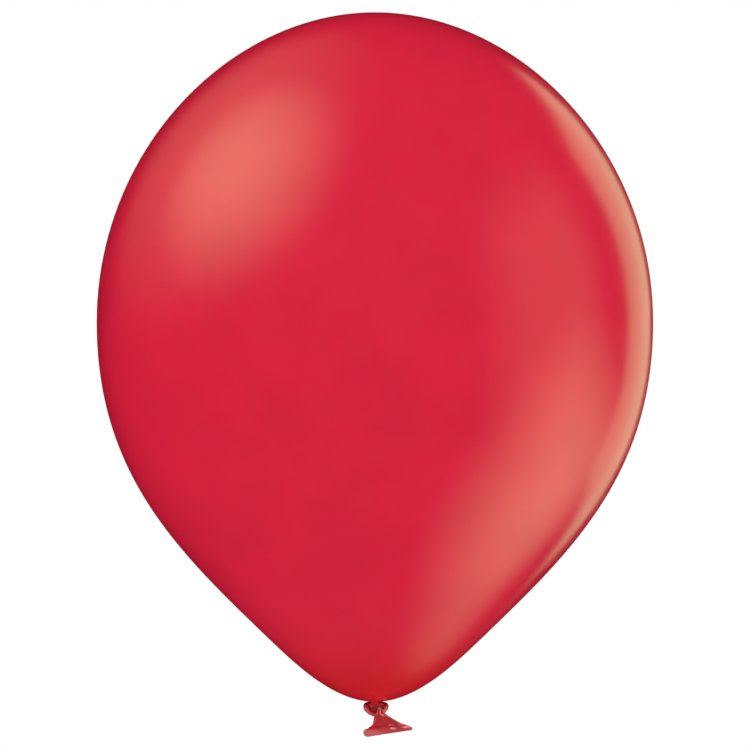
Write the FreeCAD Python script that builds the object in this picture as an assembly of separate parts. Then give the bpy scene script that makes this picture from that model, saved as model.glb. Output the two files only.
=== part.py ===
import FreeCAD, Part
import math
import os

# An inflated latex balloon, tied off with an overhand knot.
# The origin is the tie point: the waist of the neck, between the film and the knot.
# +Z runs up the balloon's axis to its crown, and the flat tail faces -Y.
# All lengths are in millimetres and all angles in degrees.

Vector = FreeCAD.Vector

# Envelope: the blown-up film, a body of revolution about Z.
equator_radius = 150.0
equator_height = 205.0  # above the pole, the film's lowest point
envelope_height = 372.2
pole_height = 0.4  # the pole above the tie point
film_wall = 0.3
nose_reach = 22.0  # where the nose's level tangent meets the line of the flank
flank_angle = 44.0  # slope of the flank above level
nose_pull = 28.6  # along the flank, up to the nose's last handle
nose_end = 50.9  # along the flank, up to where the nose ends
flank_pull = 66.8  # how far on the film keeps to the flank's slope
side_pull = 93.1  # how far above the equator the side keeps upright
crown_reach = 77.8  # how far out the crown keeps level

# Neck: the film drawn together above the knot, then the strand that runs down into it.
outlet_radius = 3.4
waist_radius = 2.3
stem_outline = [(waist_radius, -0.1), (2.6, -1.2), (2.4, -2.8), (1.5, -3.8)]
seam_gap = 0.06  # between pieces of one body that meet on a round face
turn_gap = 0.25  # between pieces that turn against each other

# Knot: one turn of the strand round the neck, high at the back and low in front.
strand_radius = 1.45
loop_radius = 5.4
loop_centre = Vector(0.5, 0, -1.9)
front_dip = 54.0  # how steeply the front half drops
back_rise = 6.0  # how steeply the back half climbs
tuck_thickness = 1.2
tuck_place = 65.0  # where the tail's strand crosses the loop, from +X round to the front
tuck_spread = 34.0
tuck_wrap = (5.0, 165.0)  # from below the loop in front, over it, and back in behind

# Tail: its root turns sideways below the knot, and its sleeve folds to and fro.
sway_centre = Vector(3.3, -4.3, -8.6)
sway_radius = 1.1
sway_half_depth = 0.9
fold_centre = Vector(4.2, -4.3, -10.6)
fold_radius = 0.9
fold_half_length = 4.2
fold_slope = 15.0  # the fold line and the mouth rise to the right

# Sleeve sections, root to mouth: centre, half length, slope, left and right end radii.
sleeve_wall = 0.35
sleeve_sections = [
    (Vector(4.75, -4.3, -11.75), 6.1, 14.0, 0.95, 0.85),
    (Vector(5.95, -4.25, -12.8), 7.9, 10.0, 1.00, 0.80),
    (Vector(6.70, -4.1, -14.0), 10.2, 8.5, 1.20, 0.85),
    (Vector(7.00, -4.0, -15.3), 12.6, 7.8, 1.40, 0.95),
]
lip_radius = 0.85


def bezier(points):
    curve = Part.BezierCurve()
    curve.setPoles([Vector(x, 0, z) for x, z in points])
    return curve.toShape()


def along_flank(start, distance):
    slope = math.radians(flank_angle)
    return (start[0] + distance * math.cos(slope), start[1] + distance * math.sin(slope))


def envelope_arcs():
    """Handles of the profile's three arcs, pole to crown: nose, shoulder and crown."""
    corner = (nose_reach, pole_height)
    nose_top = along_flank(corner, nose_end)
    equator = (equator_radius, pole_height + equator_height)
    crown = pole_height + envelope_height
    rise = (equator_radius - nose_reach) * math.tan(math.radians(flank_angle))
    nose = [(0, pole_height), corner, along_flank(corner, nose_pull), nose_top]
    shoulder = [
        nose_top,
        along_flank(nose_top, flank_pull),
        (equator_radius, pole_height + rise),
        equator,
    ]
    top = [equator, (equator_radius, equator[1] + side_pull), (crown_reach, crown), (0, crown)]
    return [nose, shoulder, top]


def moved_in(handles, distance):
    """The arc a distance to its left: each leg of its handles shifts, and they meet anew."""
    normals = []
    for (x0, z0), (x1, z1) in zip(handles, handles[1:]):
        length = math.hypot(x1 - x0, z1 - z0)
        normals.append((-(z1 - z0) / length, (x1 - x0) / length))
    normals = [normals[0]] + normals + [normals[-1]]
    shifted = []
    for (x, z), before, after in zip(handles, normals, normals[1:]):
        share = distance / (1 + before[0] * after[0] + before[1] * after[1])
        shifted.append((x + share * (before[0] + after[0]), z + share * (before[1] + after[1])))
    return shifted


def turned(edges):
    """A solid of revolution about Z from edges that run from the axis back to the axis."""
    wire = Part.Wire(edges)
    ends = [wire.OrderedVertexes[-1].Point, wire.OrderedVertexes[0].Point]
    face = Part.Face(Part.Wire(edges + [Part.makeLine(*ends)]))
    return face.revolve(Vector(0, 0, 0), Vector(0, 0, 1), 360)


def turned_outline(points):
    """A solid of revolution about Z from straight edges through (radius, height) points."""
    corners = [Vector(x, 0, z) for x, z in points]
    return turned([Part.makeLine(a, b) for a, b in zip(corners, corners[1:])])


def envelope_film():
    arcs = envelope_arcs()
    outside = turned([bezier(arc) for arc in arcs])
    inside = turned([bezier(moved_in(arc, film_wall)) for arc in arcs])
    outlet = Part.makeCylinder(outlet_radius + seam_gap, 4, Vector(0, 0, -1))
    return outside.cut(inside).cut(outlet)


def neck_gather():
    """The gathered film that closes the outlet and narrows to the waist."""
    nose_curve = (nose_reach * 3) ** 2 / (6 * nose_pull * math.sin(math.radians(flank_angle)))
    shoulder = pole_height + outlet_radius ** 2 / (2 * nose_curve)
    return turned_outline(
        [
            (0, 0),
            (waist_radius, 0),
            (outlet_radius, shoulder),
            (outlet_radius, shoulder + film_wall),
            (0, shoulder + film_wall),
        ]
    )


def neck_stem():
    """The twisted neck below the waist, down to the middle of the knot."""
    (_, top), (_, end) = stem_outline[0], stem_outline[-1]
    return turned_outline([(0, top)] + stem_outline + [(0, end)])


def placed_on_ring(shape, start, tilt):
    """Moves a shape made round Z to where the loop lies, start degrees past +X."""
    shape.rotate(Vector(0, 0, 0), Vector(0, 0, 1), start)
    shape.rotate(Vector(0, 0, 0), Vector(1, 0, 0), tilt)
    shape.translate(loop_centre)
    return shape


def half_ring(start, tilt):
    centre = Vector(0, 0, 0)
    axis = Vector(0, 0, 1)
    half = Part.makeTorus(loop_radius, strand_radius, centre, axis, -180, 180, 180)
    return placed_on_ring(half, start, tilt)


def knot_loop():
    front = half_ring(180, front_dip)
    back = half_ring(0, back_rise)
    sides = [
        Part.makeSphere(strand_radius + seam_gap / 2, loop_centre + Vector(side, 0, 0))
        for side in (-loop_radius, loop_radius)
    ]
    return front.fuse([back] + sides).removeSplitter()


def sway_seat():
    """The room that the tail root's upper knuckle turns in."""
    depth = sway_half_depth + turn_gap
    start = sway_centre - Vector(0, depth, 0)
    return Part.makeCylinder(sway_radius + turn_gap, 2 * depth, start, Vector(0, 1, 0))


def knot_tuck():
    """The tail's strand, which comes up out of the loop and bends down over it in front."""
    inner = strand_radius + seam_gap
    outer = inner + tuck_thickness

    def on_section(radius, degrees):
        angle = math.radians(degrees)
        return Vector(loop_radius + radius * math.cos(angle), 0, radius * math.sin(angle))

    low, high = tuck_wrap
    middle = (low + high) / 2
    outline = [
        Part.Arc(*[on_section(outer, angle) for angle in (low, middle, high)]).toShape(),
        Part.makeLine(on_section(outer, high), on_section(inner, high)),
        Part.Arc(*[on_section(inner, angle) for angle in (high, middle, low)]).toShape(),
        Part.makeLine(on_section(inner, low), on_section(outer, low)),
    ]
    face = Part.Face(Part.Wire(outline))
    band = face.revolve(Vector(0, 0, 0), Vector(0, 0, 1), tuck_spread)
    return placed_on_ring(band, -tuck_place - tuck_spread / 2, front_dip).cut(sway_seat())


def slope_axis(slope):
    return Vector(math.cos(math.radians(slope)), 0, math.sin(math.radians(slope)))


def rectangle(centre, along, half_length, half_depth):
    corners = [
        centre + along * (sx * half_length) + Vector(0, sy * half_depth, 0)
        for sx, sy in ((-1, -1), (1, -1), (1, 1), (-1, 1))
    ]
    return Part.makePolygon(corners + corners[:1])


def tail_root():
    """A web between a knuckle that sways in the knot and a knuckle that the sleeve folds on."""
    along = slope_axis(fold_slope)
    upper = Part.makeCylinder(
        sway_radius, 2 * sway_half_depth, sway_centre - Vector(0, sway_half_depth, 0), Vector(0, 1, 0)
    )
    lower = Part.makeCylinder(
        fold_radius, 2 * fold_half_length, fold_centre - along * fold_half_length, along
    )
    web = Part.makeLoft(
        [
            rectangle(sway_centre, along, sway_radius, sway_half_depth),
            rectangle(fold_centre, along, fold_half_length, fold_radius),
        ],
        True,
        True,
    )
    return upper.fuse([lower, web]).removeSplitter()


def belt(centre, half_length, slope, left_radius, right_radius, grow=0.0):
    """A belt round two end circles of unlike size: the outline of the flattened tube."""
    along = slope_axis(slope)
    left = left_radius + grow
    right = right_radius + grow
    reach = half_length - (left_radius + right_radius) / 2
    middle = centre + along * ((left_radius - right_radius) / 2)
    tilt = math.asin((left - right) / (2 * reach))

    def point(side, radius, angle):
        across = Vector(0, math.cos(angle), 0)
        return middle + along * (side * reach) + (along * math.sin(angle) + across) * radius

    quarter = math.pi / 2
    left_far = point(-1, left, tilt)
    left_near = point(-1, left, math.pi - tilt)
    right_far = point(1, right, tilt)
    right_near = point(1, right, math.pi - tilt)
    return Part.Wire(
        [
            Part.makeLine(left_far, right_far),
            Part.Arc(right_far, point(1, right, quarter), right_near).toShape(),
            Part.makeLine(right_near, left_near),
            Part.Arc(left_near, point(-1, left, -quarter), left_far).toShape(),
        ]
    )


def tail_sleeve():
    half_wall = sleeve_wall / 2
    outside = Part.makeLoft([belt(*row, grow=half_wall) for row in sleeve_sections], True, False)
    inside = Part.makeLoft([belt(*row, grow=-half_wall) for row in sleeve_sections], True, False)
    return outside.cut(inside)


def rolled_lip():
    """The rolled bead round the mouth, flat where it joins the sleeve's edge."""
    centre, half_length, slope, left_radius, right_radius = sleeve_sections[-1]
    along = slope_axis(slope)
    down = Vector(along.z, 0, -along.x)
    path = belt(centre + down * (lip_radius * 0.8), half_length, slope, left_radius, right_radius)
    start = path.OrderedVertexes[0].Point
    bead = path.makePipeShell([Part.Wire([Part.makeCircle(lip_radius, start, along)])], True, True)
    above = Part.makeBox(60, 20, 20, Vector(-30, -10, 0))
    above.rotate(Vector(0, 0, 0), Vector(0, 1, 0), -slope)
    above.translate(centre)
    return bead.cut(above)


nodes = {
    "envelope_film": envelope_film,
    "neck_gather": neck_gather,
    "neck_stem": neck_stem,
    "knot_loop": knot_loop,
    "knot_tuck": knot_tuck,
    "tail_root": tail_root,
    "tail_sleeve": tail_sleeve,
    "rolled_lip": rolled_lip,
}

os.makedirs("parts", exist_ok=True)
for name, make in nodes.items():
    shape = make()
    box = shape.optimalBoundingBox()
    print(
        f"{name:14} valid {shape.isValid()} solids {len(shape.Solids)} volume {shape.Volume:9.2f} "
        f"x {box.XMin:.2f}..{box.XMax:.2f} y {box.YMin:.2f}..{box.YMax:.2f} "
        f"z {box.ZMin:.2f}..{box.ZMax:.2f}"
    )
    shape.exportStep(f"parts/{name}.step")
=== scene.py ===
# A tied latex balloon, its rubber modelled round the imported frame.
# Lengths are in metres and angles in degrees, unless a note says otherwise.
import bpy
import math
import numpy as np
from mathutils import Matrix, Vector


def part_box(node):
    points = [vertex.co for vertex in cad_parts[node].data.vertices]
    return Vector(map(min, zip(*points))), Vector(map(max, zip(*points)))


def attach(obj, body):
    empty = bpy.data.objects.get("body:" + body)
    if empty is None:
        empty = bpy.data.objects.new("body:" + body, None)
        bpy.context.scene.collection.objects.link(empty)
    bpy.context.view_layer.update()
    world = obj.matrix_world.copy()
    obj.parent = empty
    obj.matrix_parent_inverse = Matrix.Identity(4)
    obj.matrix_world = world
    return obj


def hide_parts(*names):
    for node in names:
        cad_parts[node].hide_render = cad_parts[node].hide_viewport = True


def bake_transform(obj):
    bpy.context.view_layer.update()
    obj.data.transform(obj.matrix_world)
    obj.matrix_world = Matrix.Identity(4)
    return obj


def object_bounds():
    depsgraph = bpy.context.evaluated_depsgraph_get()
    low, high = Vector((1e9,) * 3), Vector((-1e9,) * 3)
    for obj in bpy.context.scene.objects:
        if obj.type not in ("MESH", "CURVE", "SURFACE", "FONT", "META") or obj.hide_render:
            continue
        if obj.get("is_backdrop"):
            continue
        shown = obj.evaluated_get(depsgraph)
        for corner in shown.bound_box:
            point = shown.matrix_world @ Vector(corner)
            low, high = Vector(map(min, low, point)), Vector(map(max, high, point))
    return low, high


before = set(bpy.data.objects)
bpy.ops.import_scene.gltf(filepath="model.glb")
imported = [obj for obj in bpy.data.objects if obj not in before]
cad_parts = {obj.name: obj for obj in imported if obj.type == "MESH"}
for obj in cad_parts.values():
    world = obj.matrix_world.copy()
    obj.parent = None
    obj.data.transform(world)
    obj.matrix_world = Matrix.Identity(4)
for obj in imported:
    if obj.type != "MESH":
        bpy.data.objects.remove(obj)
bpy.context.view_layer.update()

mm = 0.001


def bezier(handles, t):
    # cubic curve: the four handles weighted by (1 - t)^3, 3t(1 - t)^2, 3t^2(1 - t) and t^3
    weights = np.stack([(1 - t) ** 3, 3 * t * (1 - t) ** 2, 3 * t * t * (1 - t), t ** 3], axis=-1)
    return weights @ np.array(handles, float)


def throughStations(stations, t):
    # smooth curve through evenly spaced stations: each span is the cubic whose end slopes
    # are half the step between the stations on either side
    p = np.array(stations, float)
    padded = np.vstack([2 * p[0] - p[1], p, 2 * p[-1] - p[-2]])
    place = np.clip(t, 0, 1) * (len(p) - 1)
    span = np.minimum(place.astype(int), len(p) - 2)
    f = (place - span)[:, None]
    a, b, c, d = (padded[span + k] for k in range(4))
    return b + 0.5 * f * (c - a + f * (2 * a - 5 * b + 4 * c - d + f * (3 * (b - c) + d - a)))


def smoothStep(low, high, value):
    # 0 below low, 1 above high, and 3t^2 - 2t^3 between
    t = np.clip((value - low) / (high - low), 0, 1)
    return t * t * (3 - 2 * t)


def wrinkles(seed, count, low, high):
    # a sum of cosines of n * angle + phase, with whole-number counts n, so that they close round a tube
    draw = np.random.default_rng(seed)
    counts = draw.integers(low, high + 1, count)
    phases = draw.uniform(0, 2 * math.pi, count)
    heights = draw.uniform(0.5, 1.0, count)
    heights = heights / heights.sum()

    def height(angle):
        return sum(h * np.cos(n * angle + p) for n, p, h in zip(counts, phases, heights))

    return height


def skinFromGrid(name, points, material, startPole=None, endPole=None, loopRows=False, pale=None):
    # points[row, column] become quads, with columns closed round; each pole closes its end with a fan.
    # pale, from 0 to 1 on the same grid, says where the colour is lightened: painted highlights on the
    # knot and tail, and on the lip partly dust, partly a painted reflection
    rows, columns, _ = points.shape
    index = np.arange(rows * columns).reshape(rows, columns)
    step = np.arange(columns)
    u0, u1 = step / columns, (step + 1) / columns
    lower, upper = (index, np.roll(index, -1, axis=0)) if loopRows else (index[:-1], index[1:])
    quads = np.stack([lower, np.roll(lower, -1, 1), np.roll(upper, -1, 1), upper], -1).reshape(-1, 4)
    bands = len(lower)
    v0 = np.repeat(np.arange(bands) / bands, columns)
    v1 = v0 + 1 / bands
    us, ue = np.tile(u0, bands), np.tile(u1, bands)
    uv = [np.stack([np.stack([us, v0], -1), np.stack([ue, v0], -1),
                    np.stack([ue, v1], -1), np.stack([us, v1], -1)], 1).reshape(-1, 2)]
    vertices = [points.reshape(-1, 3)]
    pale = np.zeros((rows, columns)) if pale is None else pale * np.ones((rows, columns))
    paleness = [pale.ravel()]
    faces = quads.tolist()
    count = rows * columns
    for pole, ring, v in ((startPole, index[0], 0.0), (endPole, index[-1], 1.0)):
        if pole is None:
            continue
        after = np.roll(ring, -1)
        tip = np.full(columns, count)
        order = (tip, after, ring) if v == 0.0 else (tip, ring, after)
        faces += np.stack(order, -1).tolist()
        near, far = (u1, u0) if v == 0.0 else (u0, u1)
        middle = (u0 + u1) / 2
        flat = np.full(columns, v)
        uv.append(np.stack([np.stack([middle, flat], -1), np.stack([near, flat], -1),
                            np.stack([far, flat], -1)], 1).reshape(-1, 2))
        vertices.append(np.array(pole, float).reshape(1, 3))
        paleness.append([pale[0 if v == 0.0 else -1].mean()])
        count += 1
    mesh = bpy.data.meshes.new(name)
    mesh.from_pydata(np.vstack(vertices).tolist(), [], faces)
    mesh.uv_layers.new(name="skin").data.foreach_set("uv", np.vstack(uv).astype(np.float32).ravel())
    mesh.attributes.new("pale", "FLOAT", "POINT").data.foreach_set("value", np.concatenate(paleness))
    mesh.polygons.foreach_set("use_smooth", np.ones(len(mesh.polygons), bool))
    mesh.materials.append(material)
    mesh.validate()
    piece = bpy.data.objects.new(name, mesh)
    bpy.context.scene.collection.objects.link(piece)
    return piece


noiseRange = (0.3, 0.7)         # where nearly all of the noise lies

filmFinish = {
    "name": "stretched red latex",
    "colour": (0.735, 0.0110, 0.0455),
    "neckColour": (0.665, 0.0080, 0.0170),
    "neckHeight": 0.005,        # the neck colour holds up to here
    "bodyHeight": 0.050,        # and the body colour starts here
    "mottleSize": 26.0,         # blotches to the metre
    "mottle": 0.045,            # how much they brighten and dim, as a share
    "highlightAndDustColour": (0.740, 0.1000, 0.1100),
    "roughness": (0.18, 0.22),
    "neckRoughness": 0.05,      # added where the film is least stretched, by the neck
    "dullHeights": (0.030, 0.075),
    "grainSize": 900.0,
    "bump": 0.02,
}
slackFinish = {
    "name": "slack red latex",
    "colour": (0.490, 0.0190, 0.0270),
    "neckColour": (0.490, 0.0190, 0.0270),
    "neckHeight": 0.005,
    "bodyHeight": 0.050,
    "mottleSize": 320.0,
    "mottle": 0.08,
    # pale marks on the knot and tail are painted highlights; on the lip they are partly dust, partly a
    # painted reflection
    "highlightAndDustColour": (0.930, 0.3100, 0.3400),
    "roughness": (0.19, 0.27),
    "neckRoughness": 0.0,
    "dullHeights": (0.030, 0.075),
    "grainSize": 900.0,
    "bump": 0.10,
}


def mapValue(tree, value, fromRange, toRange, smooth=False):
    # carries a value from one range to another, in a straight line or by 3t^2 - 2t^3
    node = tree.nodes.new("ShaderNodeMapRange")
    node.interpolation_type = "SMOOTHSTEP" if smooth else "LINEAR"
    node.inputs["From Min"].default_value, node.inputs["From Max"].default_value = fromRange
    node.inputs["To Min"].default_value, node.inputs["To Max"].default_value = toRange
    tree.links.new(value, node.inputs["Value"])
    return node.outputs["Result"]


def noiseValue(tree, place, scale, detail):
    # cloudy noise, about 0.3 to 0.7, with so many blotches to the metre
    node = tree.nodes.new("ShaderNodeTexNoise")
    node.inputs["Scale"].default_value = scale
    node.inputs["Detail"].default_value = detail
    tree.links.new(place, node.inputs["Vector"])
    return node.outputs["Fac"]


def latexMaterial(finish):
    # colour runs from neck to body by height, is mixed towards a pale colour by the attribute, which
    # paints highlights on the knot and tail and, on the lip, partly dust and partly a painted reflection,
    # and is then brightened and dimmed by soft blotches; roughness is noise plus a share by height; a
    # fine waxy bump
    material = bpy.data.materials.new(finish["name"])
    material.use_nodes = True
    tree = material.node_tree
    nodes, links = tree.nodes, tree.links
    shader = nodes["Principled BSDF"]
    place = nodes.new("ShaderNodeTexCoord").outputs["Object"]
    split = nodes.new("ShaderNodeSeparateXYZ")
    links.new(place, split.inputs[0])
    rise = mapValue(tree, split.outputs["Z"], (finish["neckHeight"], finish["bodyHeight"]), (0, 1), True)
    tint = nodes.new("ShaderNodeMix")
    tint.data_type = "RGBA"
    tint.inputs["A"].default_value = (*finish["neckColour"], 1)
    tint.inputs["B"].default_value = (*finish["colour"], 1)
    links.new(rise, tint.inputs["Factor"])
    blotches = noiseValue(tree, place, finish["mottleSize"], 3.0)
    strength = mapValue(tree, blotches, noiseRange, (1 - finish["mottle"], 1 + finish["mottle"]))
    # the pale attribute: painted highlights on the knot and tail, and partly dust, partly a painted
    # reflection on the lip
    drawn = nodes.new("ShaderNodeAttribute")
    drawn.attribute_name = "pale"
    patchy = nodes.new("ShaderNodeMath")
    patchy.operation = "MULTIPLY"
    patchy.use_clamp = True
    links.new(drawn.outputs["Fac"], patchy.inputs[0])
    links.new(strength, patchy.inputs[1])
    highlightAndDustMix = nodes.new("ShaderNodeMix")
    highlightAndDustMix.data_type = "RGBA"
    links.new(patchy.outputs[0], highlightAndDustMix.inputs["Factor"])
    links.new(tint.outputs["Result"], highlightAndDustMix.inputs["A"])
    highlightAndDustMix.inputs["B"].default_value = (*finish["highlightAndDustColour"], 1)
    shade = nodes.new("ShaderNodeHueSaturation")
    links.new(highlightAndDustMix.outputs["Result"], shade.inputs["Color"])
    links.new(strength, shade.inputs["Value"])
    links.new(shade.outputs["Color"], shader.inputs["Base Color"])
    sheen = noiseValue(tree, place, finish["mottleSize"] * 3, 4.0)
    gloss = mapValue(tree, sheen, noiseRange, finish["roughness"])
    dull = mapValue(tree, split.outputs["Z"], finish["dullHeights"], (finish["neckRoughness"], 0), True)
    roughness = nodes.new("ShaderNodeMath")
    links.new(gloss, roughness.inputs[0])
    links.new(dull, roughness.inputs[1])
    links.new(roughness.outputs[0], shader.inputs["Roughness"])
    bump = nodes.new("ShaderNodeBump")
    bump.inputs["Strength"].default_value = finish["bump"]
    bump.inputs["Distance"].default_value = 0.2 * mm
    links.new(noiseValue(tree, place, finish["grainSize"], 2.0), bump.inputs["Height"])
    links.new(bump.outputs["Normal"], shader.inputs["Normal"])
    shader.inputs["IOR"].default_value = 1.5
    return material


filmLatex = latexMaterial(filmFinish)
slackLatex = latexMaterial(slackFinish)
print("rubber ready")


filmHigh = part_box("envelope_film")[1]
film = {
    "poleHeight": 0.4 * mm,
    "equatorHeight": 205.4 * mm,
    "noseReach": 22.0 * mm,     # the nose's level tangent meets the flank's line here
    "flankAngle": 44.0,
    "nosePull": 28.6 * mm,
    "noseEnd": 50.9 * mm,
    "flankPull": 66.8 * mm,
    "sidePull": 93.1 * mm,
    "crownReach": 77.8 * mm,
    "wall": 0.3 * mm,
    "turnIn": 5.2 * mm,         # inside this radius the film draws down into the neck
    "waistRadius": 2.35 * mm,
    "pleats": (9, 17),
    "pleatDepth": 0.06 * mm,
    "pleatReach": 13.0 * mm,
    "unevenness": 0.0012,       # how far it is from round, as a share of its radius
    "around": 208,
    "rowsPerArc": (34, 44, 46),
}


def filmProfile():
    # radius and height from the pole to the crown: nose, flank and crown are three cubic curves
    # that share their end slopes
    slope = math.radians(film["flankAngle"])
    way = np.array([math.cos(slope), math.sin(slope)])
    corner = np.array([film["noseReach"], film["poleHeight"]])
    noseTop = corner + film["noseEnd"] * way
    radius, top, equator = filmHigh.x, filmHigh.z, film["equatorHeight"]
    lean = film["poleHeight"] + (radius - film["noseReach"]) * math.tan(slope)
    arcs = [
        [(0, film["poleHeight"]), corner, corner + film["nosePull"] * way, noseTop],
        [noseTop, noseTop + film["flankPull"] * way, (radius, lean), (radius, equator)],
        [(radius, equator), (radius, equator + film["sidePull"]), (film["crownReach"], top), (0, top)],
    ]
    curves = [bezier(arc, np.linspace(0, 1, rows + 1)[1:]) for arc, rows in zip(arcs, film["rowsPerArc"])]
    return np.vstack(curves)[:-1]


def makeEnvelope():
    # the profile turned about Z; below it a quarter turn of film draws in to the waist, and near
    # the neck the pleats raise and lower the film by a sum of cosines round it
    profile = filmProfile()
    profile = profile[profile[:, 0] > film["turnIn"]]
    turn = np.linspace(0, 1, 14)[:-1]
    edge, waist = profile[0], np.array([film["waistRadius"], -0.25 * mm])
    drawn = bezier([waist, (waist[0], 0.5 * mm), edge - (2.0 * mm, 0.28 * mm), edge], turn)
    profile = np.vstack([drawn, profile])
    angle = np.linspace(0, 2 * math.pi, film["around"], endpoint=False)
    radius, height = profile[:, :1], profile[:, 1:]
    pleat = wrinkles(4, 5, *film["pleats"])(angle)[None, :]
    fade = (1 - smoothStep(3 * mm, film["pleatReach"], radius)) * smoothStep(-0.1 * mm, 0.6 * mm, height)
    lobes = np.cos(2 * angle + 0.6) + 0.6 * np.cos(3 * angle + 2.1)     # slightly oval and three-sided
    even = 1 + film["unevenness"] * lobes[None, :] * smoothStep(20 * mm, 120 * mm, radius)
    r = radius * even
    z = height + film["pleatDepth"] * pleat * fade
    points = np.stack([r * np.cos(angle), r * np.sin(angle), z + 0 * r], -1)
    crown = (0, 0, filmHigh.z)
    piece = skinFromGrid("balloon_film", points, filmLatex, endPole=crown)
    wall = piece.modifiers.new("film wall", "SOLIDIFY")
    wall.thickness = film["wall"]
    wall.offset = -1
    return piece


envelopeSkin = makeEnvelope()
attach(envelopeSkin, "envelope")
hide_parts("envelope_film", "neck_gather")
print("film ready")


neck = {
    # station down the neck: half width, half depth, middle x and y, height; all in millimetres
    "stations": [
        (2.00, 2.00, 0.0, 0.0, 0.70), (2.30, 2.20, 0.0, 0.0, 0.05), (4.20, 2.40, 0.5, 0.4, -0.55),
        (5.00, 2.20, 0.9, 0.7, -1.50), (5.00, 2.10, 0.9, 0.8, -2.80), (4.60, 2.10, 0.9, 0.8, -4.20),
        (3.60, 2.00, 0.9, 0.8, -5.40), (2.00, 1.50, 0.9, 0.8, -6.30), (0.60, 0.60, 0.8, 0.7, -6.60),
    ],
    "pleats": (7, 13),
    "pleatDepth": 0.07 * mm,
    "twist": 50.0,          # how far the pleats wind on the way down
    "squareness": 0.8,      # 1 is an oval, less is squarer
    "around": 96,
    "rows": 60,
}


def makeNeck():
    # a squarish oval column of changing size: x is the half width times the cosine to a power below 1,
    # y the half depth times the sine, and both grow by pleats that wind on the way down
    down = np.linspace(0, 1, neck["rows"])
    wide, deep, x, y, height = throughStations(neck["stations"], down).T[:, :, None] * mm
    angle = np.linspace(0, 2 * math.pi, neck["around"], endpoint=False)[None, :]
    wound = angle + math.radians(neck["twist"]) * down[:, None]
    fold = neck["pleatDepth"] * wrinkles(11, 4, *neck["pleats"])(wound)
    fold = fold * smoothStep(0.3 * mm, 2 * mm, deep)
    c, s = np.cos(angle), np.sin(angle)
    across = np.sign(c) * np.abs(c) ** neck["squareness"]
    points = np.stack([x + (wide + fold) * across, y + (deep + fold) * s,
                       height + 0 * fold], -1)[::-1]
    top = (0, 0, 0.9 * mm)
    bottom = (0.8 * mm, 0.6 * mm, -6.65 * mm)
    return skinFromGrid("gathered_neck", points, slackLatex, startPole=bottom, endPole=top)


neckSkin = makeNeck()
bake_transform(neckSkin)
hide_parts("neck_stem")
print("neck ready")


loop = {
    "centre": (0.5 * mm, 0.0, -1.9 * mm),
    "halfWidth": 5.45 * mm,
    "frontReach": 3.5 * mm,
    "backReach": 5.2 * mm,
    "frontDrop": 5.1 * mm,
    "backRise": 0.20 * mm,
    "ease": 0.35,            # how gently the front half bends away from the back half
    "thickness": (1.38 * mm, 1.02 * mm),   # strand radius at the sides, and low in front
    "ridges": (3, 8),
    "ridgeDepth": 0.09 * mm,
    "pale": (0.85, 0.48),    # how strong the painted highlight is at the right and left of the strand's front
    "around": 72,
    "along": 168,
}


def makeLoop():
    # a round strand carried along an oval path whose front half drops and whose back half climbs;
    # the shares of front and back are (root of s^2 + ease^2, plus or minus s) / 2, where s is the
    # sine round the path, so that it bends without a corner
    t = np.linspace(0, 2 * math.pi, loop["along"], endpoint=False)
    s = -np.sin(t)
    bend = np.sqrt(s * s + loop["ease"] ** 2)
    front = (s + bend) / 2
    back = (bend - s) / 2
    cx, cy, cz = loop["centre"]
    rest = loop["ease"] / 2
    path = np.stack([
        cx + loop["halfWidth"] * np.cos(t),
        cy - loop["frontReach"] * (front - rest) + loop["backReach"] * (back - rest),
        cz - loop["frontDrop"] * (front - rest) + loop["backRise"] * (back - rest),
    ], -1)
    ahead = np.roll(path, -1, 0) - np.roll(path, 1, 0)
    ahead /= np.linalg.norm(ahead, axis=1)[:, None]
    outward = path - np.array([cx, cy, cz - 1.5 * mm])
    outward -= (outward * ahead).sum(1)[:, None] * ahead
    outward /= np.linalg.norm(outward, axis=1)[:, None]
    side = np.cross(ahead, outward)
    angle = np.linspace(0, 2 * math.pi, loop["around"], endpoint=False)
    wide, thin = loop["thickness"]
    size = (wide + (thin - wide) * smoothStep(0.2, 0.95, s))[:, None]
    wound = angle[None, :] + 0.9 * np.sin(t)[:, None]
    fold = loop["ridgeDepth"] * wrinkles(23, 5, *loop["ridges"])(wound)
    r = (size + fold)[..., None]
    normal = (np.cos(angle)[None, :, None] * outward[:, None]
              + np.sin(angle)[None, :, None] * side[:, None])
    # a painted highlight along the strand's front, strongest at the two sides of the ring
    reach = smoothStep(2.0 * mm, 4.6 * mm, np.abs(path[:, 0] - cx))
    sides = reach * np.where(path[:, 0] > cx, *loop["pale"]) + 0.06
    pale = sides[:, None] * smoothStep(0.60, 0.98, -normal[..., 1])
    return skinFromGrid("knot_strand", path[:, None] + r * normal, slackLatex, loopRows=True, pale=pale)


loopSkin = makeLoop()
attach(loopSkin, "knot")
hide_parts("knot_loop")
print("knot ready")


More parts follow.
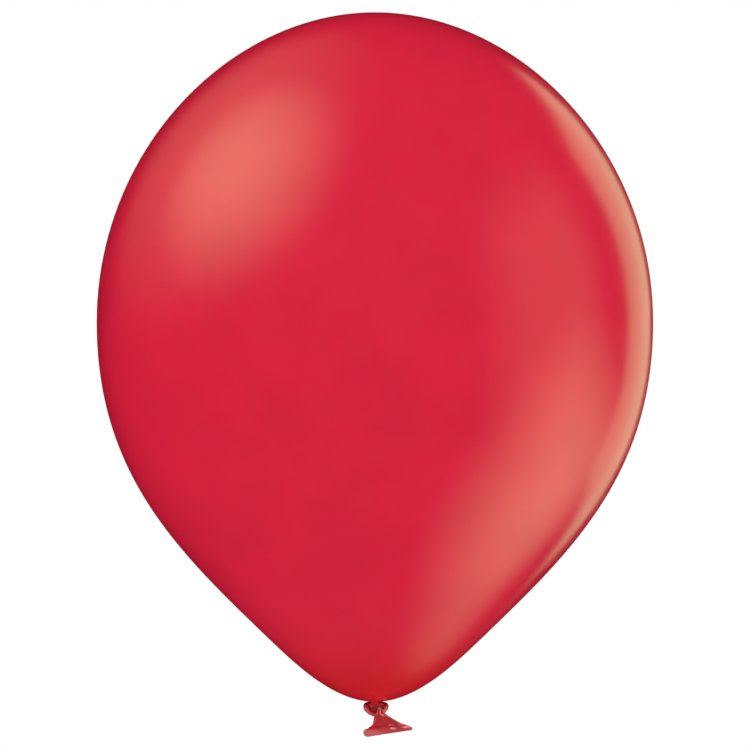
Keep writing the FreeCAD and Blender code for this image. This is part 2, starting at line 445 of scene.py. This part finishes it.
tail = {
    # station down the tail: left edge x, z; right edge x, z; depth y; half thickness; all in millimetres
    "stations": [
        (1.6, -4.4, 2.8, -4.2, -0.5, 0.50),
        (1.5, -3.1, 3.2, -2.9, -2.0, 0.72),
        (1.5, -4.2, 4.2, -3.9, -3.7, 0.80),
        (0.45, -5.9, 5.4, -5.4, -4.75, 0.76),
        (-0.6, -7.7, 8.1, -7.4, -5.1, 0.80),
        (-0.9, -9.7, 11.2, -9.3, -4.8, 0.85),
        (-1.4, -11.6, 14.8, -11.0, -4.5, 0.95),
        (-3.1, -13.4, 18.0, -12.2, -4.3, 1.10),
        (-4.3, -16.1, 19.5, -13.8, -4.1, 1.20),
    ],
    "wall": 0.35 * mm,
    "around": 120,
    "blunt": (0.86, 0.80),      # the section's squareness across and through; 1 is an oval
    "folds": 7.85,              # the three folds of the strand where it comes over the loop
    "foldDepth": 0.16 * mm,
    "creases": ((7.5, 0.4, 0.6), (13.0, -1.0, 0.4)),    # fanning to the mouth: rate, phase, share
    "creaseDepth": 0.30 * mm,
    "thinRight": 0.38,          # how much thinner the tube is at its right end
    "hingeTilt": 0.08,          # how far the rows tilt at the tail's hinge, to run along its axis
    "overlap": 0.02 * mm,       # how far a piece's end sinks under its neighbour
    "pieces": {                 # from, to and rows
        "tuck": (0.0, 0.43, 60),
        "root": (0.37, 0.645, 44),
        "sleeve": (0.595, 1.0, 60),
    },
}


lip = {
    "leftRadius": 2.10 * mm,
    "rightRadius": 0.84 * mm,
    "taper": 1.5,
    "flare": 0.95,      # how far the sleeve swells over the bead, as a share of its radius
    "along": 180,
    "around": 40,
    "ridgeDepth": 0.05 * mm,
}


def lipSize(x):
    # the bead's radius, from fat at the left end of the mouth, x = -1, to thin at the right, x = 1
    return lip["rightRadius"] + (lip["leftRadius"] - lip["rightRadius"]) * ((1 - x) / 2) ** lip["taper"]


def tailFrame(v):
    # centre, direction across and half length of the flattened tube at each v, its thickness direction
    # and half thickness
    lx, lz, rx, rz, y, half = throughStations(tail["stations"], v).T * mm
    left = np.stack([lx, y, lz], -1)
    right = np.stack([rx, y, rz], -1)
    centre = (left + right) / 2
    across = right - left
    length = np.linalg.norm(across, axis=1)
    across /= length[:, None]
    small = 0.002
    ends = [throughStations(tail["stations"], np.clip(v + d, 0, 1)) * mm for d in (-small, small)]
    middles = [np.stack([(e[:, 0] + e[:, 2]) / 2, e[:, 4], (e[:, 1] + e[:, 3]) / 2], -1) for e in ends]
    ahead = middles[1] - middles[0]
    through = np.cross(ahead, across)
    through /= np.linalg.norm(through, axis=1)[:, None]
    return centre, across, length / 2, through, half


def tailSection(v, angle, shrink, flare=0.0):
    # a flattened tube: across it the half length times the cosine to a power, through it the half
    # thickness times the sine to a power, less to the right; the rows tilt at the hinge, cosine
    # creases fan out below the root, and the tube swells into the bead at its mouth
    c, s = np.cos(angle)[None, :], np.sin(angle)[None, :]
    bluntX, bluntY = tail["blunt"]
    x = np.sign(c) * np.abs(c) ** bluntX + 0 * v[:, None]
    y = np.sign(s) * np.abs(s) ** bluntY
    tilt = tail["hingeTilt"] * smoothStep(0.45, 0.595, v) * (1 - smoothStep(0.65, 1.0, v))
    v = v[:, None] - tilt[:, None] * x
    centre, across, halfLength, through, half = (k.reshape(*v.shape, -1) for k in tailFrame(v.ravel()))
    a = halfLength[..., 0] - shrink[:, None]
    b = (half[..., 0] - shrink[:, None]) * (1 - tail["thinRight"] * x)
    b = b + flare * smoothStep(0.76, 1.0, v) * lipSize(x)
    a = a + 0.8 * flare * smoothStep(0.80, 1.0, v) * lipSize(x)
    fan = tail["creaseDepth"] * smoothStep(0.45, 0.85, v) * (1 - 0.6 * smoothStep(0.88, 1.0, v))
    waves = sum(np.cos(rate * x + phase) * share for rate, phase, share in tail["creases"])
    crease = fan * waves * (1 - x * x)
    folds = tail["foldDepth"] * (1 - smoothStep(0.25, 0.6, v)) * np.cos(tail["folds"] * x) * s
    return centre + (a * x)[..., None] * across + (b * y + crease + folds)[..., None] * through


def makeTailPiece(name, span, hollow):
    # the tube from one v to another, shut at both ends; a hollow one turns back in at its mouth
    # and shuts inside. An end that meets another piece of the tail sinks a hair below it
    start, stop, rows = span
    v = np.linspace(start, stop, rows)
    angle = np.linspace(0, 2 * math.pi, tail["around"], endpoint=False)
    sunk = tail["overlap"] * ((start > 0) * (1 - smoothStep(start, start + 0.045, v))
                              + (stop < 1) * smoothStep(stop - 0.045, stop, v))
    points = tailSection(v, angle, sunk, lip["flare"])
    startPole = points[0].mean(0)
    if hollow:
        inside = np.linspace(stop, start + 0.08, rows - 8)
        inner = tailSection(inside, angle, np.full(len(inside), tail["wall"]))
        points = np.vstack([points, inner])
    endPole = points[-1].mean(0)
    # pale: painted highlights where the strand comes over the loop, along its folds,
    # and on the right edge at the mouth; the glow near the mouth is partly dust, partly a painted
    # reflection
    x, front = np.cos(angle)[None, :], smoothStep(-0.2, 0.5, np.sin(angle))[None, :]
    along = np.concatenate([v, inside])[:, None] if hollow else v[:, None]
    crest = smoothStep(0.1, 0.9, np.cos(tail["folds"] * x)) * front
    paintedHighlight = 0.9 * np.exp(-((along - 0.16) / 0.07) ** 2)
    paintedHighlight = paintedHighlight + 0.85 * (1 - smoothStep(0.30, 0.48, along)) * crest
    edge = 0.6 * smoothStep(0.80, 0.97, x) * smoothStep(0.66, 0.80, along)
    glow = 0.15 * smoothStep(0.82, 1.0, along) * (1 - 0.5 * smoothStep(-0.4, 0.6, x))
    pale = np.clip(paintedHighlight + edge + glow, 0, 1)
    return skinFromGrid(name, points, slackLatex, startPole=startPole, endPole=endPole, pale=pale)


tuckSkin = makeTailPiece("tail_tuck", tail["pieces"]["tuck"], False)
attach(tuckSkin, "knot")
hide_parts("knot_tuck")

rootSkin = makeTailPiece("tail_root_skin", tail["pieces"]["root"], False)
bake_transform(rootSkin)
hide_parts("tail_root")

sleeveSkin = makeTailPiece("tail_sleeve_skin", tail["pieces"]["sleeve"], True)
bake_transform(sleeveSkin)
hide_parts("tail_sleeve")
print("tail ready")


def makeLip():
    # a round bead carried once round the mouth, fat at the left end and thin at the right: radius
    # times cosine to the side and sine along the tail, with three faint ridges round it
    t = np.linspace(0, 2 * math.pi, lip["along"], endpoint=False)
    path = tailSection(np.array([1.0]), t, np.array([0.1 * mm]))[0]
    ahead = np.roll(path, -1, 0) - np.roll(path, 1, 0)
    ahead /= np.linalg.norm(ahead, axis=1)[:, None]
    _, across, _, through, _ = tailFrame(np.array([1.0]))
    down = np.cross(across, through)
    side = np.cross(down, ahead)
    side /= np.linalg.norm(side, axis=1)[:, None]
    size = lipSize(np.cos(t))
    angle = np.linspace(0, 2 * math.pi, lip["around"], endpoint=False)
    r = size[:, None] + lip["ridgeDepth"] * np.cos(3 * angle + 1)[None, :]
    points = path[:, None] + r[..., None] * (np.cos(angle)[None, :, None] * side[:, None]
                                             + np.sin(angle)[None, :, None] * down[:, None])
    # the roll is paler, most at its fat end: partly dust, partly a painted reflection, in noisy streaks
    dustAndReflection = 1 + 0.35 * wrinkles(31, 5, 4, 15)(t)[:, None] * np.cos(angle - 0.8)[None, :]
    pale = (0.07 + 0.27 * smoothStep(9 * mm, -2 * mm, points[..., 0])) * dustAndReflection
    return skinFromGrid("rolled_lip_bead", points, slackLatex, loopRows=True, pale=pale)


lipSkin = makeLip()
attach(lipSkin, "tail")
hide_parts("rolled_lip")
print("lip ready")


studio = {
    "floorDrop": 0.40,       # how far the floor lies below the balloon
    "floorSize": 6.0,        # its radius
    "floorFade": (0.8, 3.0), # it turns from pale to white between these
    "middle": 0.1769,        # height that the camera looks at
    "distance": 3.5,
    "viewWidth": 0.405,      # what the camera takes in at the balloon
    "sensor": 36.0,
}


softboxes = {
    # azimuth from the camera towards the right, elevation, half width and half height as angles,
    # radiance, how much of the box is its soft edge, distance
    "upper left softbox": (-74, 43, 42, 39, 3.05, 1.0, 4.0),
    "upper left spill": (-98, 44, 56, 50, 0.65, 1.0, 4.0),
    "lower right softbox": (93.5, -37, 41, 44.5, 2.65, 1.0, 1.2),
    "right strip": (76, 4, 36, 45, 0.9, 0.8, 4.0),
    "rear right window": (142, 4, 17, 31, 1.2, 0.25, 4.0),
}
softboxTint = (0.76, 1.0, 0.60)


def wayTo(azimuth, elevation):
    # the direction from the balloon, with azimuth 0 towards the camera and 90 to its right
    az, el = math.radians(azimuth), math.radians(elevation)
    return math.sin(az) * math.cos(el), -math.cos(az) * math.cos(el), math.sin(el)


def addSoftbox(name, azimuth, elevation, halfWide, halfHigh, radiance, softEdge, distance):
    # a card that shows in the gloss only and faces the balloon: its light is one minus the smooth
    # step of the distance from its middle, or the product of those taken across and up
    way = np.array(wayTo(azimuth, elevation))
    right = np.array([math.cos(math.radians(azimuth)), math.sin(math.radians(azimuth)), 0.0])
    up = np.cross(right, way)
    middle = np.array([0, 0, studio["middle"]]) + distance * way
    wide = distance * math.tan(math.radians(halfWide)) * right
    high = distance * math.tan(math.radians(halfHigh)) * up
    corners = [middle - wide - high, middle - wide + high, middle + wide + high, middle + wide - high]
    mesh = bpy.data.meshes.new(name)
    mesh.from_pydata([c.tolist() for c in corners], [], [(0, 1, 2, 3)])
    mesh.uv_layers.new(name="card").data.foreach_set("uv", (0, 0, 0, 1, 1, 1, 1, 0))
    material = bpy.data.materials.new(name)
    material.use_nodes = True
    material.cycles.emission_sampling = "NONE"
    tree = material.node_tree
    nodes, links = tree.nodes, tree.links
    nodes.remove(nodes["Principled BSDF"])
    where = nodes.new("ShaderNodeTexCoord")
    centred = nodes.new("ShaderNodeVectorMath")
    centred.operation = "MULTIPLY_ADD"
    centred.inputs[1].default_value = (2, 2, 0)
    centred.inputs[2].default_value = (-1, -1, 0)
    links.new(where.outputs["UV"], centred.inputs[0])
    light = nodes.new("ShaderNodeEmission")
    light.inputs["Color"].default_value = (*softboxTint, 1)
    power = nodes.new("ShaderNodeMath")
    power.operation = "MULTIPLY"
    power.inputs[1].default_value = radiance
    if softEdge == 1.0:
        reach = nodes.new("ShaderNodeVectorMath")
        reach.operation = "LENGTH"
        links.new(centred.outputs[0], reach.inputs[0])
        links.new(mapValue(tree, reach.outputs["Value"], (0, 1), (1, 0), True), power.inputs[0])
    else:
        split = nodes.new("ShaderNodeSeparateXYZ")
        links.new(centred.outputs[0], split.inputs[0])
        both = nodes.new("ShaderNodeMath")
        both.operation = "MULTIPLY"
        for k, axis in enumerate("XY"):
            size = nodes.new("ShaderNodeMath")
            size.operation = "ABSOLUTE"
            links.new(split.outputs[axis], size.inputs[0])
            links.new(mapValue(tree, size.outputs[0], (1 - softEdge, 1), (1, 0), True), both.inputs[k])
        links.new(both.outputs[0], power.inputs[0])
    links.new(power.outputs[0], light.inputs["Strength"])
    clear = nodes.new("ShaderNodeBsdfTransparent")      # so that one card does not shade another
    both = nodes.new("ShaderNodeAddShader")
    links.new(light.outputs[0], both.inputs[0])
    links.new(clear.outputs[0], both.inputs[1])
    links.new(both.outputs[0], nodes["Material Output"].inputs["Surface"])
    mesh.materials.append(material)
    card = bpy.data.objects.new(name.replace(" ", "_"), mesh)
    bpy.context.scene.collection.objects.link(card)
    card.visible_camera = False
    card.visible_diffuse = False
    card.visible_shadow = False
    card.visible_transmission = False
    card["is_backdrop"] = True


glints = {
    # small lamps that light the knot and the tail only: azimuth, elevation, distance, size, power
    "left glint": (-38, -24, 1.0, 0.24, 1.9),
    "right glint": (26, 33, 1.0, 0.28, 2.6),
}


def addGlint(name, azimuth, elevation, distance, size, power, lit):
    # a round lamp aimed at the tie point, which lights only the given pieces
    way = Vector(wayTo(azimuth, elevation))
    data = bpy.data.lights.new(name, "AREA")
    data.shape = "DISK"
    data.size = size
    data.energy = power
    lamp = bpy.data.objects.new(name, data)
    bpy.context.scene.collection.objects.link(lamp)
    lamp.location = way * distance
    lamp.rotation_euler = way.to_track_quat("Z", "Y").to_euler()
    lamp.visible_camera = False
    lamp.visible_diffuse = False
    lamp.light_linking.receiver_collection = lit


def makeStudio():
    # an even white room that the gloss doesn't see, the softboxes, the glints and the camera
    scene = bpy.context.scene
    scene.view_settings.view_transform = "Standard"
    world = bpy.data.worlds.new("white room")
    scene.world = world
    world.use_nodes = True
    world.node_tree.nodes["Background"].inputs["Color"].default_value = (1, 1, 1, 1)
    world.node_tree.nodes["Background"].inputs["Strength"].default_value = 1.0
    world.cycles_visibility.glossy = False      # only the softboxes show in the gloss
    world.cycles.sampling_method = "NONE"
    for name, settings in softboxes.items():
        addSoftbox(name, *settings)
    knotParts = bpy.data.collections.new("lit by the glints")
    for piece in (neckSkin, loopSkin, tuckSkin, rootSkin, sleeveSkin, lipSkin):
        knotParts.objects.link(piece)
    for name, settings in glints.items():
        addGlint(name, *settings, knotParts)
    camera = bpy.data.objects.new("camera", bpy.data.cameras.new("camera"))
    scene.collection.objects.link(camera)
    camera.data.sensor_width = studio["sensor"]
    camera.data.lens = studio["sensor"] * studio["distance"] / studio["viewWidth"]
    camera.location = (0, -studio["distance"], studio["middle"])
    camera.rotation_euler = (math.radians(90), 0, 0)
    scene.camera = camera


def makeFloor():
    # a pale disc, radius times cosine and sine, that brightens to white towards its edge
    low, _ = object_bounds()
    around = np.linspace(0, 2 * math.pi, 96, endpoint=False)
    radius = np.linspace(0.1, 1, 12)[:, None] * studio["floorSize"]
    height = low[2] - studio["floorDrop"]
    points = np.stack([radius * np.cos(around), -radius * np.sin(around),
                       0 * radius * around + height], -1)
    material = bpy.data.materials.new("pale floor")
    material.use_nodes = True
    tree = material.node_tree
    nodes, links = tree.nodes, tree.links
    shader = nodes["Principled BSDF"]
    shader.inputs["Base Color"].default_value = (0.90, 0.90, 0.90, 1)
    shader.inputs["Roughness"].default_value = 0.9
    shader.inputs["Specular IOR Level"].default_value = 0.0
    where = nodes.new("ShaderNodeTexCoord")
    length = nodes.new("ShaderNodeVectorMath")
    length.operation = "LENGTH"
    links.new(where.outputs["Object"], length.inputs[0])
    fade = mapValue(tree, length.outputs["Value"], studio["floorFade"], (0, 1), True)
    white = nodes.new("ShaderNodeEmission")
    mix = nodes.new("ShaderNodeMixShader")
    links.new(fade, mix.inputs["Fac"])
    links.new(shader.outputs["BSDF"], mix.inputs[1])
    links.new(white.outputs["Emission"], mix.inputs[2])
    links.new(mix.outputs["Shader"], nodes["Material Output"].inputs["Surface"])
    floor = skinFromGrid("floor", points, material, startPole=(0, 0, height))
    floor.visible_glossy = False
    floor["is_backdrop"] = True


makeStudio()
makeFloor()
print("studio ready")
